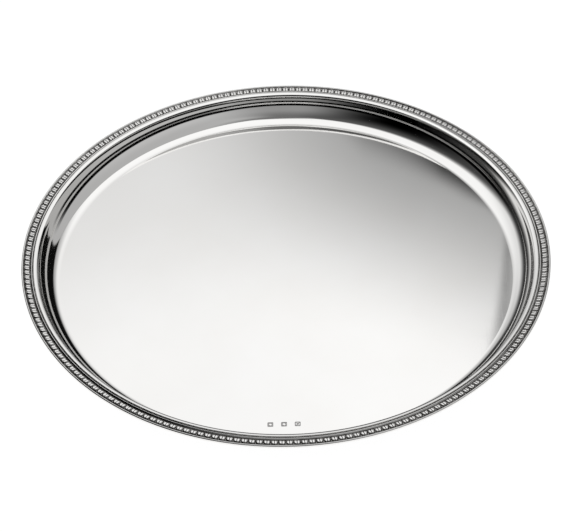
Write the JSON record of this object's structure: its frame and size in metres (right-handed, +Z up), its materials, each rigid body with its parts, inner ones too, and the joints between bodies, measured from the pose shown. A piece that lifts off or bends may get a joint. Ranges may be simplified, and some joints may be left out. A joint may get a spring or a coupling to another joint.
{
  "type": "silver salver",
  "caption": "Round silver-plated salver: flat polished well, steep concave wall, narrow polished crown standing just above a soldered border of small leaves between a reed and a round rim.",
  "frame": {"origin": "middle of the flat underside, on the surface that the salver rests on", "axes": "+Z up along the salver's axis, out of the well; +X and +Y lie in the resting plane, and one joint of the border lies 15 degrees from +X towards +Y"},
  "size_m": [0.35, 0.35, 0.018],
  "materials": {
    "silver_plate": "polished",
    "border_silver": "polished",
    "solder": "satin"
  },
  "bodies": {
    "root": {"tray_body": "silver_plate", "solder_bed": "solder", "border_length_1": "border_silver", "border_length_2": "border_silver", "border_length_3": "border_silver", "border_joint_1": "border_silver", "border_joint_2": "border_silver", "border_joint_3": "border_silver"}
  },
  "joints": []
}
